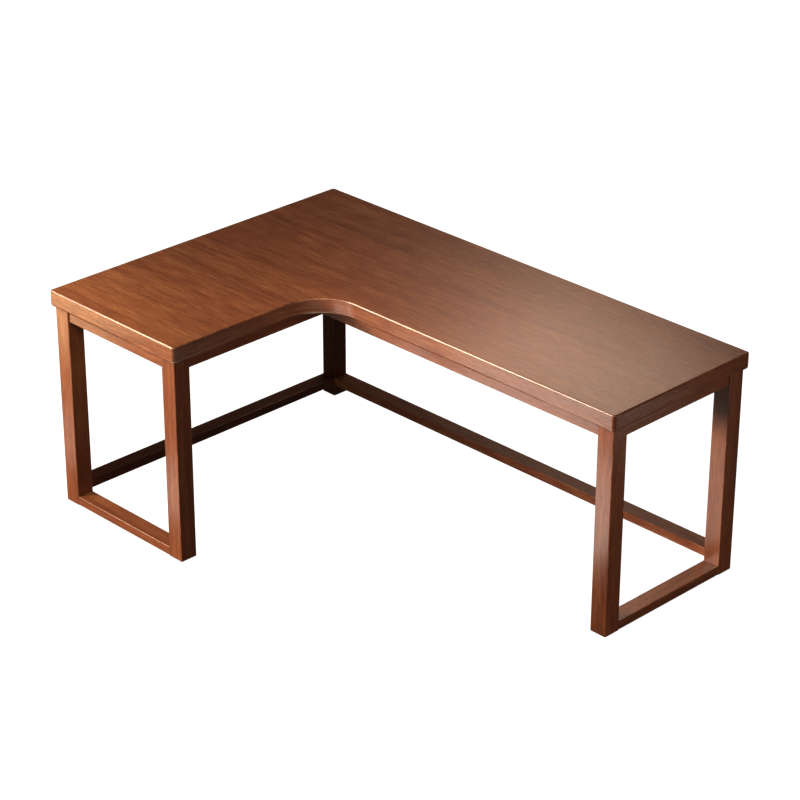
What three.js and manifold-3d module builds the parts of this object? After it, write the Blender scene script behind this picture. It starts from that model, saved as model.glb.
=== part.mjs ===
// Corner desk: an L-shaped wooden worktop on two closed end frames and one corner leg.
// Millimetres, +Z up. The origin is on the floor, under the centre of the desk's bounding box.
// The main arm runs along X at the back, and the return arm comes forward (-Y) on the left.

import * as THREE from 'three';
import { mergeVertices } from 'three/addons/utils/BufferGeometryUtils.js';
import Module from 'manifold-3d';

const wasm = await Module();
wasm.setup();

// ---------------------------------------------------------------------------
// Driving dimensions
// ---------------------------------------------------------------------------

const MAIN_LENGTH = 1800; // the desk along X
const RETURN_LENGTH = 1208; // the desk along Y
const MAIN_DEPTH = 604; // the main arm, back to front
const RETURN_DEPTH = 594; // the return arm, left to right
const HEIGHT = 740;

const TOP_THICKNESS = 55;
const TOP_EDGE_RADIUS = 5; // rounding of the worktop's upper and lower edges
const TOP_CORNER_RADIUS = 8; // rounding of its five outer corners, in plan
const INNER_RADIUS = 150; // the curve where the two arms meet

const OVERHANG = 12; // worktop edge to leg face
const LEG_SIZE = 60;
const CORNER_LEG_SIZE = 58;
const WOOD_EDGE_RADIUS = 3; // rounding along legs, rails, stretchers and aprons

const APRON_HEIGHT = 38; // aprons, and the top rails of the end frames
const APRON_THICKNESS = 22;
const APRON_SETBACK = 5; // leg face to the face of an apron or top rail
const BOTTOM_RAIL_HEIGHT = 30;
const BOTTOM_RAIL_SETBACK = 1;
const STRETCHER_WIDTH = 56;
const STRETCHER_HEIGHT = 29;
const STRETCHER_LIFT = 42; // floor to the underside of a stretcher

const GLIDE_THICKNESS = 2;
const GLIDE_RADIUS = 12;
const GLIDE_PIN_RADIUS = 3;
const GLIDE_PIN_LENGTH = 10;

const TENON_LENGTH = 24;
const TENON_WIDTH = 28;
const TENON_HEIGHT = 14;
const TOP_TENON_INSET = 4; // worktop to the top rail's tenon, which clears the hanger bolt below it

const JOINT_GAP = 0.3; // clearance round a tenon, bolt or screw in its hole
const END_GAP = 1; // room left at the bottom of a blind hole

const BRACE_HEIGHT = 24;
const BRACE_CLEARANCE = 8; // leg corner to brace, measured along X or Y
const BRACE_DEPTH = 28; // the brace itself, measured along X or Y
const HANGER_RADIUS = 3;
const HANGER_IN_LEG = 36;
const HANGER_PAST_BRACE = 12;
const NUT_HEIGHT = 5;
const NUT_RADIUS = 5.8; // to the corners of the hexagon

const CAM_RADIUS = 7.5;
const CAM_HEIGHT = 19;
const CAM_FROM_END = 34;
const CAM_OFFSET = 8; // towards the outside, so that the two bolts in the corner leg miss each other
const CAM_BOLT_RADIUS = 3.5;
const CAM_BOLT_IN_LEG = 20;
const CAM_HEAD_RECESS = 0.5; // cam to the stretcher's underside

const SCREW_HEAD_RADIUS = 4.8;
const SCREW_HEAD_HEIGHT = 3.6;
const SCREW_SHANK_RADIUS = 2.2;
const SCREW_IN_TOP = 24;
const SCREW_TIP = 6;
const SCREW_SEAT = 16; // depth of the counterbore below a rail's screw
const COUNTERBORE_RADIUS = 6;

const GLUE_BLOCK_LEG = 40;
const GLUE_BLOCK_HEIGHT = 30;

const CURVE_STEPS = 12; // segments in an arc of the worktop's outline
const EDGE_STEPS = 3; // segments in a small rounded edge
const ROUND_SIDES = 12; // sides of a turned part or a drilled hole

// ---------------------------------------------------------------------------
// Places worked out from them
// ---------------------------------------------------------------------------

const LEFT = -MAIN_LENGTH / 2;
const RIGHT = MAIN_LENGTH / 2;
const FRONT = -RETURN_LENGTH / 2;
const BACK = RETURN_LENGTH / 2;
const INNER_X = LEFT + RETURN_DEPTH; // the return arm's free edge
const INNER_Y = BACK - MAIN_DEPTH; // the main arm's free edge
const TOP_UNDERSIDE = HEIGHT - TOP_THICKNESS;
const APRON_UNDERSIDE = TOP_UNDERSIDE - APRON_HEIGHT;
const FOOT = GLIDE_THICKNESS; // underside of the legs and bottom rails
const APRON_INSET = OVERHANG + APRON_SETBACK; // worktop edge to apron face

/** The square a leg stands on, from its outer corner and the way that its inside lies. */
function footprint(outerX, outerY, inwardX, inwardY, size) {
  const innerX = outerX + inwardX * size;
  const innerY = outerY + inwardY * size;
  return {
    size,
    inwardX,
    inwardY,
    innerX,
    innerY,
    x: [Math.min(outerX, innerX), Math.max(outerX, innerX)],
    y: [Math.min(outerY, innerY), Math.max(outerY, innerY)],
    centreX: (outerX + innerX) / 2,
    centreY: (outerY + innerY) / 2,
  };
}

const LEGS = {
  leg_left_outer: footprint(LEFT + OVERHANG, FRONT + OVERHANG, 1, 1, LEG_SIZE),
  leg_left_inner: footprint(INNER_X - OVERHANG, FRONT + OVERHANG, -1, 1, LEG_SIZE),
  leg_right_front: footprint(RIGHT - OVERHANG, INNER_Y + OVERHANG, -1, 1, LEG_SIZE),
  leg_right_back: footprint(RIGHT - OVERHANG, BACK - OVERHANG, -1, -1, LEG_SIZE),
  leg_corner: footprint(LEFT + OVERHANG, BACK - OVERHANG, 1, -1, CORNER_LEG_SIZE),
};
const { leg_left_outer: LEFT_OUTER, leg_left_inner: LEFT_INNER, leg_corner: CORNER } = LEGS;
const { leg_right_front: RIGHT_FRONT, leg_right_back: RIGHT_BACK } = LEGS;

// ---------------------------------------------------------------------------
// Materials
// ---------------------------------------------------------------------------

const stainedWood = new THREE.MeshStandardMaterial({ color: 0x8a4a2b, roughness: 0.42, metalness: 0 });
const plainWood = new THREE.MeshStandardMaterial({ color: 0xb98a5c, roughness: 0.7, metalness: 0 });
const zincSteel = new THREE.MeshStandardMaterial({ color: 0xb9bcc0, roughness: 0.35, metalness: 1 });
const darkNylon = new THREE.MeshStandardMaterial({ color: 0x2b211c, roughness: 0.6, metalness: 0 });

// ---------------------------------------------------------------------------
// Solids
// ---------------------------------------------------------------------------

const MERGE_WITHIN = 1e-4;

/** A closed geometry as a solid that can be joined and cut. Points closer than MERGE_WITHIN are one. */
function toSolid(geometry) {
  const bare = geometry.clone();
  bare.deleteAttribute('normal');
  bare.deleteAttribute('uv');
  const merged = mergeVertices(bare, MERGE_WITHIN);
  return new wasm.Manifold(
    new wasm.Mesh({
      numProp: 3,
      vertProperties: new Float32Array(merged.attributes.position.array),
      triVerts: new Uint32Array(merged.index.array),
    }),
  );
}

function toGeometry(solid) {
  const { vertProperties, triVerts } = solid.getMesh();
  const geometry = new THREE.BufferGeometry();
  geometry.setAttribute('position', new THREE.BufferAttribute(vertProperties, 3));
  geometry.setIndex(new THREE.BufferAttribute(triVerts, 1));
  geometry.computeVertexNormals();
  return geometry;
}

/** Joins to a geometry, and then cuts from it, other geometries in the same coordinates. */
function joinery(geometry, joined, cut) {
  let solid = toSolid(geometry);
  for (const other of joined) solid = solid.add(toSolid(other));
  for (const other of cut) solid = solid.subtract(toSolid(other));
  return toGeometry(solid);
}

/** An outline of straight runs at right angles, each corner [x, y, radius] an arc. */
function roundedOutline(corners) {
  const shape = new THREE.Shape();
  corners.forEach(([x, y, radius], i) => {
    const [lastX, lastY] = corners.at(i - 1);
    const [nextX, nextY] = corners[(i + 1) % corners.length];
    const inX = Math.sign(x - lastX);
    const inY = Math.sign(y - lastY);
    const outX = Math.sign(nextX - x);
    const outY = Math.sign(nextY - y);
    const centreX = x + (outX - inX) * radius;
    const centreY = y + (outY - inY) * radius;
    const clockwise = inX * outY - inY * outX < 0;
    shape.absarc(centreX, centreY, radius, Math.atan2(-outY, -outX), Math.atan2(inY, inX), clockwise);
  });
  return shape;
}

/** Turns local X, Y, Z to the row's axes so that a part made along Z runs along the given axis. */
function alongAxis(axis) {
  const x = new THREE.Vector3(1, 0, 0);
  const y = new THREE.Vector3(0, 1, 0);
  const z = new THREE.Vector3(0, 0, 1);
  const bases = { x: [y, z, x], y: [z, x, y], z: [x, y, z] };
  return new THREE.Matrix4().makeBasis(...bases[axis]);
}

/** A bar with rounded long edges and square ends that fills the spans x, y and z. */
function bar(axis, { x, y, z }) {
  const across = { x: [y, z, x], y: [z, x, y], z: [x, y, z] }[axis];
  const [[u0, u1], [v0, v1], [w0, w1]] = across;
  const r = WOOD_EDGE_RADIUS;
  const section = roundedOutline([[u0, v0, r], [u1, v0, r], [u1, v1, r], [u0, v1, r]]);
  const options = { depth: w1 - w0, bevelEnabled: false, curveSegments: EDGE_STEPS };
  return new THREE.ExtrudeGeometry(section, options).translate(0, 0, w0).applyMatrix4(alongAxis(axis));
}

/** A plain block that fills the spans x, y and z. */
function block({ x, y, z }) {
  const size = [x, y, z].map(([low, high]) => high - low);
  const middle = [x, y, z].map(([low, high]) => (low + high) / 2);
  return new THREE.BoxGeometry(...size).translate(...middle);
}

/** A flat part of the given outline, standing from a height. */
function plate(shape, bottom, thickness) {
  const options = { depth: thickness, bevelEnabled: false, curveSegments: EDGE_STEPS };
  return new THREE.ExtrudeGeometry(shape, options).translate(0, 0, bottom);
}

/** A rod or a drilled hole from one point to another. */
function rod(from, to, radius) {
  const start = new THREE.Vector3(...from);
  const run = new THREE.Vector3(...to).sub(start);
  const turn = new THREE.Quaternion().setFromUnitVectors(new THREE.Vector3(0, 1, 0), run.clone().normalize());
  const middle = start.addScaledVector(run, 0.5);
  return new THREE.CylinderGeometry(radius, radius, run.length(), ROUND_SIDES)
    .applyQuaternion(turn)
    .translate(middle.x, middle.y, middle.z);
}

/** A turned part about the vertical through a point, from its [radius, height] profile. */
function turned(profile, [x, y, z]) {
  const points = profile.map(([radius, height]) => new THREE.Vector2(radius, height));
  return new THREE.LatheGeometry(points, ROUND_SIDES).rotateX(Math.PI / 2).translate(x, y, z);
}

/** Adds one piece, with its own origin at the middle of its box. */
function addPiece(group, name, material, geometry) {
  geometry.computeBoundingBox();
  const middle = geometry.boundingBox.getCenter(new THREE.Vector3()).round();
  const mesh = new THREE.Mesh(geometry.translate(-middle.x, -middle.y, -middle.z), material);
  mesh.name = name;
  mesh.position.copy(middle);
  group.add(mesh);
}

/** A span made wider at both ends. */
function widened([low, high], by) {
  return [low - by, high + by];
}

/** The span of a given size about its middle. */
function centred(middle, size) {
  return [middle - size / 2, middle + size / 2];
}

// ---------------------------------------------------------------------------
// Top screws: one up through each apron or rail, and two where the run is long
// ---------------------------------------------------------------------------

const APRON_MIDDLE = APRON_INSET + APRON_THICKNESS / 2; // worktop edge to the middle of an apron
const FRAME_MIDDLE = OVERHANG + LEG_SIZE / 2; // worktop edge to the middle of an end frame
const THIRD = (RIGHT_BACK.x[0] - CORNER.x[1]) / 3;
const SCREWS = {
  top_screw_rear_left: [CORNER.x[1] + THIRD, BACK - APRON_MIDDLE],
  top_screw_rear_right: [CORNER.x[1] + 2 * THIRD, BACK - APRON_MIDDLE],
  top_screw_front_left: [CORNER.x[1] + THIRD, INNER_Y + APRON_MIDDLE],
  top_screw_front_right: [CORNER.x[1] + 2 * THIRD, INNER_Y + APRON_MIDDLE],
  top_screw_left: [LEFT + APRON_MIDDLE, (FRONT + INNER_Y) / 2],
  top_screw_inner: [INNER_X - APRON_MIDDLE, (FRONT + INNER_Y) / 2],
  top_screw_left_frame: [(LEFT + INNER_X) / 2, FRONT + FRAME_MIDDLE],
  top_screw_right_frame: [RIGHT - FRAME_MIDDLE, (INNER_Y + BACK) / 2],
};
const SCREW_SEAT_Z = APRON_UNDERSIDE + SCREW_SEAT;
const SCREW_TIP_Z = TOP_UNDERSIDE + SCREW_IN_TOP;

/** The stepped hole for a top screw, from under the rail up into the worktop. */
function screwHoles() {
  return Object.values(SCREWS).flatMap(([x, y]) => [
    rod([x, y, APRON_UNDERSIDE - END_GAP], [x, y, SCREW_SEAT_Z], COUNTERBORE_RADIUS),
    rod([x, y, SCREW_SEAT_Z - END_GAP], [x, y, SCREW_TIP_Z + END_GAP], SCREW_SHANK_RADIUS + JOINT_GAP),
  ]);
}

function addTopScrews(group) {
  const underHead = SCREW_SEAT_Z - JOINT_GAP;
  const shoulder = SCREW_TIP_Z - SCREW_TIP;
  for (const [name, [x, y]] of Object.entries(SCREWS)) {
    const profile = [
      [0, underHead - SCREW_HEAD_HEIGHT],
      [SCREW_HEAD_RADIUS, underHead - SCREW_HEAD_HEIGHT],
      [SCREW_HEAD_RADIUS, underHead],
      [SCREW_SHANK_RADIUS, underHead],
      [SCREW_SHANK_RADIUS, shoulder],
      [0, SCREW_TIP_Z],
    ];
    addPiece(group, name, zincSteel, turned(profile, [x, y, 0]));
  }
}

// ---------------------------------------------------------------------------
// Worktop
// ---------------------------------------------------------------------------

function addWorktop(group) {
  const r = TOP_CORNER_RADIUS;
  const outline = roundedOutline([
    [LEFT, FRONT, r],
    [INNER_X, FRONT, r],
    [INNER_X, INNER_Y, INNER_RADIUS],
    [RIGHT, INNER_Y, r],
    [RIGHT, BACK, r],
    [LEFT, BACK, r],
  ]);
  const slab = new THREE.ExtrudeGeometry(outline, {
    depth: TOP_THICKNESS - 2 * TOP_EDGE_RADIUS,
    bevelThickness: TOP_EDGE_RADIUS,
    bevelSize: TOP_EDGE_RADIUS,
    bevelOffset: -TOP_EDGE_RADIUS,
    bevelSegments: EDGE_STEPS,
    curveSegments: CURVE_STEPS,
  }).translate(0, 0, TOP_UNDERSIDE + TOP_EDGE_RADIUS);
  addPiece(group, 'worktop', stainedWood, joinery(slab, [], screwHoles()));
}

// ---------------------------------------------------------------------------
// Legs, with what is cut in them: mortises, bolt holes and the hole for a glide
// ---------------------------------------------------------------------------

/** A point on the diagonal through a leg's inner corner, a distance out from that corner. */
function onDiagonal(leg, distance, z) {
  const step = distance * Math.SQRT1_2;
  return [leg.innerX + leg.inwardX * step, leg.innerY + leg.inwardY * step, z];
}

const BRACE_MIDDLE_Z = APRON_UNDERSIDE + BRACE_HEIGHT / 2;

function hangerHole(leg) {
  const bottom = onDiagonal(leg, -HANGER_IN_LEG - END_GAP, BRACE_MIDDLE_Z);
  return rod(bottom, onDiagonal(leg, BRACE_CLEARANCE, BRACE_MIDDLE_Z), HANGER_RADIUS + JOINT_GAP);
}

function glideHole(leg) {
  const { centreX: x, centreY: y } = leg;
  const top = FOOT + GLIDE_PIN_LENGTH + END_GAP;
  return rod([x, y, FOOT - END_GAP], [x, y, top], GLIDE_PIN_RADIUS + JOINT_GAP);
}

function addLegs(group) {
  const mortises = FRAME_RAILS.map((rail) => tenon(rail, JOINT_GAP, END_GAP));
  const boltHoles = CAM_JOINTS.map(camBoltHole);
  for (const [name, leg] of Object.entries(LEGS)) {
    const post = bar('z', { x: leg.x, y: leg.y, z: [FOOT, TOP_UNDERSIDE] });
    const cuts = [...mortises, ...boltHoles, hangerHole(leg), glideHole(leg)];
    addPiece(group, name, stainedWood, joinery(post, [], cuts));
  }
}

// ---------------------------------------------------------------------------
// End frames: a top and a bottom rail tenoned into each pair of legs
// ---------------------------------------------------------------------------

const TOP_RAIL_Z = [APRON_UNDERSIDE, TOP_UNDERSIDE];
const TOP_TENON_Z = [TOP_UNDERSIDE - TOP_TENON_INSET - TENON_HEIGHT, TOP_UNDERSIDE - TOP_TENON_INSET];
const BOTTOM_RAIL_Z = [FOOT, FOOT + BOTTOM_RAIL_HEIGHT];
const BOTTOM_TENON_Z = centred(FOOT + BOTTOM_RAIL_HEIGHT / 2, TENON_HEIGHT);

/** The two rails between a pair of legs: along X on the left, along Y on the right. */
function frameRails(side, axis, first, second) {
  const across = axis === 'x' ? 'y' : 'x';
  const common = { axis, across, run: [first[axis][1], second[axis][0]] };
  const legSpan = first[across];
  return [
    {
      ...common,
      name: `${side}_top_rail`,
      width: widened(legSpan, -APRON_SETBACK),
      z: TOP_RAIL_Z,
      tenonZ: TOP_TENON_Z,
    },
    {
      ...common,
      name: `${side}_bottom_rail`,
      width: widened(legSpan, -BOTTOM_RAIL_SETBACK),
      z: BOTTOM_RAIL_Z,
      tenonZ: BOTTOM_TENON_Z,
    },
  ];
}

const FRAME_RAILS = [
  ...frameRails('left_frame', 'x', LEFT_OUTER, LEFT_INNER),
  ...frameRails('right_frame', 'y', RIGHT_FRONT, RIGHT_BACK),
];

/** The tongue that runs through a rail and out of both ends, or the mortises that take it. */
function tenon(rail, around = 0, beyond = 0) {
  const middle = (rail.width[0] + rail.width[1]) / 2;
  return block({
    [rail.axis]: widened(rail.run, TENON_LENGTH + beyond),
    [rail.across]: centred(middle, TENON_WIDTH + 2 * around),
    z: widened(rail.tenonZ, around),
  });
}

function addFrameRails(group) {
  for (const rail of FRAME_RAILS) {
    const body = bar(rail.axis, { [rail.axis]: rail.run, [rail.across]: rail.width, z: rail.z });
    addPiece(group, rail.name, stainedWood, joinery(body, [tenon(rail)], screwHoles()));
  }
}

// ---------------------------------------------------------------------------
// Aprons under the worktop's long edges
// ---------------------------------------------------------------------------

function addAprons(group) {
  const z = [APRON_UNDERSIDE, TOP_UNDERSIDE];
  const rearFace = BACK - APRON_INSET;
  const leftFace = LEFT + APRON_INSET;
  const frontFace = INNER_Y + APRON_INSET;
  const innerFace = INNER_X - APRON_INSET;
  const rear = { x: [CORNER.x[1], RIGHT_BACK.x[0]], y: [rearFace - APRON_THICKNESS, rearFace], z };
  const left = { x: [leftFace, leftFace + APRON_THICKNESS], y: [LEFT_OUTER.y[1], CORNER.y[0]], z };
  const front = { x: [left.x[1], RIGHT_FRONT.x[0]], y: [frontFace, frontFace + APRON_THICKNESS], z };
  const inner = { x: [innerFace - APRON_THICKNESS, innerFace], y: [LEFT_INNER.y[1], frontFace], z };
  const holes = screwHoles();
  addPiece(group, 'rear_apron', stainedWood, joinery(bar('x', rear), [], holes));
  addPiece(group, 'front_apron', stainedWood, joinery(bar('x', front), [], holes));
  addPiece(group, 'left_apron', stainedWood, joinery(bar('y', left), [], holes));
  addPiece(group, 'inner_apron', stainedWood, joinery(bar('y', inner), [], holes));
  addGlueBlock(group, 'glue_block_inner', [inner.x[0], frontFace], [-1, -1]);
  addGlueBlock(group, 'glue_block_beam_front', [left.x[1], frontFace], [1, -1]);
  addGlueBlock(group, 'glue_block_beam_rear', [left.x[1], front.y[1]], [1, 1]);
}

/** A triangular block in the corner where two aprons meet. */
function addGlueBlock(group, name, [x, y], [wayX, wayY]) {
  const shape = new THREE.Shape([
    new THREE.Vector2(x, y),
    new THREE.Vector2(x + wayX * GLUE_BLOCK_LEG, y),
    new THREE.Vector2(x, y + wayY * GLUE_BLOCK_LEG),
  ]);
  const bottom = TOP_UNDERSIDE - GLUE_BLOCK_HEIGHT;
  addPiece(group, name, plainWood, plate(shape, bottom, GLUE_BLOCK_HEIGHT));
}

// ---------------------------------------------------------------------------
// Corner braces: a block across each leg's inner corner, pulled in by a hanger bolt and its nut
// ---------------------------------------------------------------------------

/** How far each leg's inner corner stands proud of the aprons or rails either side of it. */
const BEHIND_APRON = LEG_SIZE - APRON_SETBACK - APRON_THICKNESS;
const BEHIND_CORNER_APRON = CORNER_LEG_SIZE - APRON_SETBACK - APRON_THICKNESS;
const PROUD = {
  leg_left_outer: [BEHIND_APRON, APRON_SETBACK],
  leg_left_inner: [BEHIND_APRON, APRON_SETBACK],
  leg_right_front: [APRON_SETBACK, BEHIND_APRON],
  leg_right_back: [APRON_SETBACK, BEHIND_APRON],
  leg_corner: [BEHIND_CORNER_APRON, BEHIND_CORNER_APRON],
};

/** A brace's outline: its long faces lie at 45 degrees, and its ends on the two aprons or rails. */
function braceOutline(leg, [proudX, proudY]) {
  const near = BRACE_CLEARANCE;
  const far = near + BRACE_DEPTH;
  const corners = [
    [-proudX, near + proudX],
    [-proudX, far + proudX],
    [far + proudY, -proudY],
    [near + proudY, -proudY],
  ];
  return new THREE.Shape(
    corners.map(([u, v]) => new THREE.Vector2(leg.innerX + leg.inwardX * u, leg.innerY + leg.inwardY * v)),
  );
}

/** A hexagonal nut with its bore, standing on XY, to be turned onto the bolt. */
function nutGeometry() {
  const corners = Array.from({ length: 6 }, (_, i) => {
    const angle = (i * Math.PI) / 3;
    return new THREE.Vector2(NUT_RADIUS * Math.cos(angle), NUT_RADIUS * Math.sin(angle));
  });
  const hexagon = new THREE.Shape(corners);
  const bore = new THREE.Path().absarc(0, 0, HANGER_RADIUS + JOINT_GAP, 0, 2 * Math.PI, true);
  hexagon.holes.push(bore);
  const options = { depth: NUT_HEIGHT, bevelEnabled: false, curveSegments: ROUND_SIDES };
  return new THREE.ExtrudeGeometry(hexagon, options);
}

function addCornerBraces(group) {
  const braceFace = (BRACE_CLEARANCE + BRACE_DEPTH) * Math.SQRT1_2;
  for (const [legName, leg] of Object.entries(LEGS)) {
    const place = legName.replace('leg_', '');
    const z = BRACE_MIDDLE_Z;
    const holeEnd = onDiagonal(leg, braceFace + END_GAP, z);
    const hole = rod(onDiagonal(leg, 0, z), holeEnd, HANGER_RADIUS + JOINT_GAP);
    const body = plate(braceOutline(leg, PROUD[legName]), APRON_UNDERSIDE, BRACE_HEIGHT);
    addPiece(group, `corner_brace_${place}`, plainWood, joinery(body, [], [hole]));

    const tip = braceFace + HANGER_PAST_BRACE;
    const bolt = rod(onDiagonal(leg, -HANGER_IN_LEG, z), onDiagonal(leg, tip, z), HANGER_RADIUS);
    addPiece(group, `hanger_bolt_${place}`, zincSteel, bolt);

    const outward = new THREE.Vector3(leg.inwardX, leg.inwardY, 0).normalize();
    const turn = new THREE.Quaternion().setFromUnitVectors(new THREE.Vector3(0, 0, 1), outward);
    const seat = onDiagonal(leg, braceFace + JOINT_GAP, z);
    addPiece(group, `hanger_nut_${place}`, zincSteel, nutGeometry().applyQuaternion(turn).translate(...seat));
  }
}

// ---------------------------------------------------------------------------
// Low stretchers, held to their legs by a cam and a connecting bolt at each end
// ---------------------------------------------------------------------------

const STRETCHER_Z = [STRETCHER_LIFT, STRETCHER_LIFT + STRETCHER_HEIGHT];
const STRETCHER_MIDDLE_Z = STRETCHER_LIFT + STRETCHER_HEIGHT / 2;
const BOLT_X = CORNER.centreX - CAM_OFFSET;
const BOLT_Y = CORNER.centreY + CAM_OFFSET;

/** Each joint: the point where the bolt crosses the leg's face, and the way into the stretcher. */
const CAM_JOINTS = [
  { name: 'left_front', face: [BOLT_X, LEFT_OUTER.y[1]], inward: [0, 1] },
  { name: 'left_rear', face: [BOLT_X, CORNER.y[0]], inward: [0, -1] },
  { name: 'rear_left', face: [CORNER.x[1], BOLT_Y], inward: [1, 0] },
  { name: 'rear_right', face: [RIGHT_BACK.x[0], BOLT_Y], inward: [-1, 0] },
];

/** A point on a cam joint's bolt line, a distance into the stretcher. */
function alongJoint({ face, inward }, distance) {
  return [face[0] + inward[0] * distance, face[1] + inward[1] * distance, STRETCHER_MIDDLE_Z];
}

function camBoltHole(joint) {
  const bottom = alongJoint(joint, -CAM_BOLT_IN_LEG - END_GAP);
  return rod(bottom, alongJoint(joint, CAM_FROM_END), CAM_BOLT_RADIUS + JOINT_GAP);
}

const CAM_TOP_Z = STRETCHER_LIFT + CAM_HEAD_RECESS + CAM_HEIGHT;

function camHole(joint) {
  const [x, y] = alongJoint(joint, CAM_FROM_END);
  return rod([x, y, STRETCHER_LIFT - END_GAP], [x, y, CAM_TOP_Z + END_GAP], CAM_RADIUS + JOINT_GAP);
}

function addStretchers(group) {
  const cuts = CAM_JOINTS.flatMap((joint) => [camBoltHole(joint), camHole(joint)]);
  const left = bar('y', {
    x: centred(CORNER.centreX, STRETCHER_WIDTH),
    y: [LEFT_OUTER.y[1], CORNER.y[0]],
    z: STRETCHER_Z,
  });
  const rear = bar('x', {
    x: [CORNER.x[1], RIGHT_BACK.x[0]],
    y: centred(CORNER.centreY, STRETCHER_WIDTH),
    z: STRETCHER_Z,
  });
  addPiece(group, 'left_stretcher', stainedWood, joinery(left, [], cuts));
  addPiece(group, 'rear_stretcher', stainedWood, joinery(rear, [], cuts));
}

function addCamFittings(group) {
  for (const joint of CAM_JOINTS) {
    const boltEnd = CAM_FROM_END - CAM_RADIUS - JOINT_GAP;
    const bolt = rod(alongJoint(joint, -CAM_BOLT_IN_LEG), alongJoint(joint, boltEnd), CAM_BOLT_RADIUS);
    addPiece(group, `cam_bolt_${joint.name}`, zincSteel, bolt);
    const [x, y] = alongJoint(joint, CAM_FROM_END);
    const cam = rod([x, y, CAM_TOP_Z - CAM_HEIGHT], [x, y, CAM_TOP_Z], CAM_RADIUS);
    addPiece(group, `cam_${joint.name}`, zincSteel, cam);
  }
}

// ---------------------------------------------------------------------------
// Glides: a low dome under each leg, held by its pin
// ---------------------------------------------------------------------------

function addGlides(group) {
  const profile = [
    [0, 0],
    [GLIDE_RADIUS - GLIDE_THICKNESS, 0],
    [GLIDE_RADIUS, GLIDE_THICKNESS / 2],
    [GLIDE_RADIUS, GLIDE_THICKNESS],
    [GLIDE_PIN_RADIUS, GLIDE_THICKNESS],
    [GLIDE_PIN_RADIUS, GLIDE_THICKNESS + GLIDE_PIN_LENGTH],
    [0, GLIDE_THICKNESS + GLIDE_PIN_LENGTH],
  ];
  for (const [legName, leg] of Object.entries(LEGS)) {
    const glide = turned(profile, [leg.centreX, leg.centreY, 0]);
    addPiece(group, `glide_${legName.replace('leg_', '')}`, darkNylon, glide);
  }
}

// ---------------------------------------------------------------------------
// The desk
// ---------------------------------------------------------------------------

const desk = new THREE.Group();
addWorktop(desk);
addLegs(desk);
addFrameRails(desk);
addAprons(desk);
addStretchers(desk);
addCornerBraces(desk);
addCamFittings(desk);
addTopScrews(desk);
addGlides(desk);

export default desk;
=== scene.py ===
"""The looks of a corner desk: an L-shaped stained-wood worktop on two closed end frames and a corner leg.

Metres, +Z up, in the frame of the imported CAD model: the main arm runs along X at the back (+Y),
the return arm comes forward (-Y) on the left (-X), and the origin is on the floor.
Every CAD node is replaced by a finer piece in the same place, whose sizes come from the frame.
"""

import math
import random
from typing import NamedTuple

import bmesh
import bpy
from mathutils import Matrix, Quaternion, Vector
from mathutils.geometry import convex_hull_2d


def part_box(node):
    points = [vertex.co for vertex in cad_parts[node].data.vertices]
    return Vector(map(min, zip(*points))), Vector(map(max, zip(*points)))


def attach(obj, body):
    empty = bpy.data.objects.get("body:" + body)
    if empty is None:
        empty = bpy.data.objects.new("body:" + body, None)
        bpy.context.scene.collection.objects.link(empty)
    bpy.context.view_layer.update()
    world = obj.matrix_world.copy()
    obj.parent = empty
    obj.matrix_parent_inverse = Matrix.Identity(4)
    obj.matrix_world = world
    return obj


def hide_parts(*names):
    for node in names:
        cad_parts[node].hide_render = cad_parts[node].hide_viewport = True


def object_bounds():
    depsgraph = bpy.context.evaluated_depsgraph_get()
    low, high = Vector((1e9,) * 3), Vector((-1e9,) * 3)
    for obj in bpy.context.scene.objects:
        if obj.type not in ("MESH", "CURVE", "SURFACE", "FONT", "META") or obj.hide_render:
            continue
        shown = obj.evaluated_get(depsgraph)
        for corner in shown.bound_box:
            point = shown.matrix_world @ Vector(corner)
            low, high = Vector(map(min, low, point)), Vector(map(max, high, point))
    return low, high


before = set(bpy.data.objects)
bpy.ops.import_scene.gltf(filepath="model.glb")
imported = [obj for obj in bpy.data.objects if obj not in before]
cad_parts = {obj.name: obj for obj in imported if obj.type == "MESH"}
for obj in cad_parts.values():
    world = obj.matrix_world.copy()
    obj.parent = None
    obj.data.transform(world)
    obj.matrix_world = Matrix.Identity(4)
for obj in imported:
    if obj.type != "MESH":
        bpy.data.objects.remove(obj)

CAD_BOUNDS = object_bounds()
BODY = "root"

# ----- Sizes that the frame doesn't give -----

TOP_EDGE_RADIUS = 0.005  # rounding between the worktop's upper face and its edge
LOWER_EDGE_RADIUS = 0.010  # rounding under the worktop's edge, less than that of its corners
TOP_CORNER_RADIUS = 0.011  # its outer corners, in plan
INNER_RADIUS = 0.150  # the curve between the two arms, in plan
LEG_EDGE = 0.003  # rounding along the legs
RAIL_EDGE = 0.0025  # rounding along rails, aprons and stretchers
END_EASE = 0.0008  # rounding round the end of a leg, rail, apron or stretcher
BLOCK_EDGE = 0.001  # rounding of the corner braces and glue blocks
RIM_TURN = math.radians(40)  # how far a rounding turns before the wood of the next face begins

FIT = 0.0003  # clearance round a tenon, bolt, screw or cam in its hole
HOLE_END = 0.001  # room left at the bottom of a blind hole
COUNTERBORE_RADIUS = 0.006
SCREW_HEAD_HEIGHT = 0.0036
SCREW_SHANK_RADIUS = 0.0022
GLIDE_PIN_RADIUS = 0.003

ARC_STEPS = 6  # segments in a small rounded edge
EASE_STEPS = 3  # segments in an eased one
INNER_STEPS = 48  # segments in the curve between the two arms
TURNED_SIDES = 48  # sides of a turned part
HOLE_SIDES = 40
SHARP_ANGLE = math.radians(40)

LEG_NAMES = ["leg_left_outer", "leg_left_inner", "leg_right_front", "leg_right_back", "leg_corner"]
X, Y, Z = 0, 1, 2
AXIS_INDEX = {"x": X, "y": Y, "z": Z}
AXIS_VECTOR = {"x": Vector((1, 0, 0)), "y": Vector((0, 1, 0)), "z": Vector((0, 0, 1))}

# ----- Camera, floor and lights -----

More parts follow.
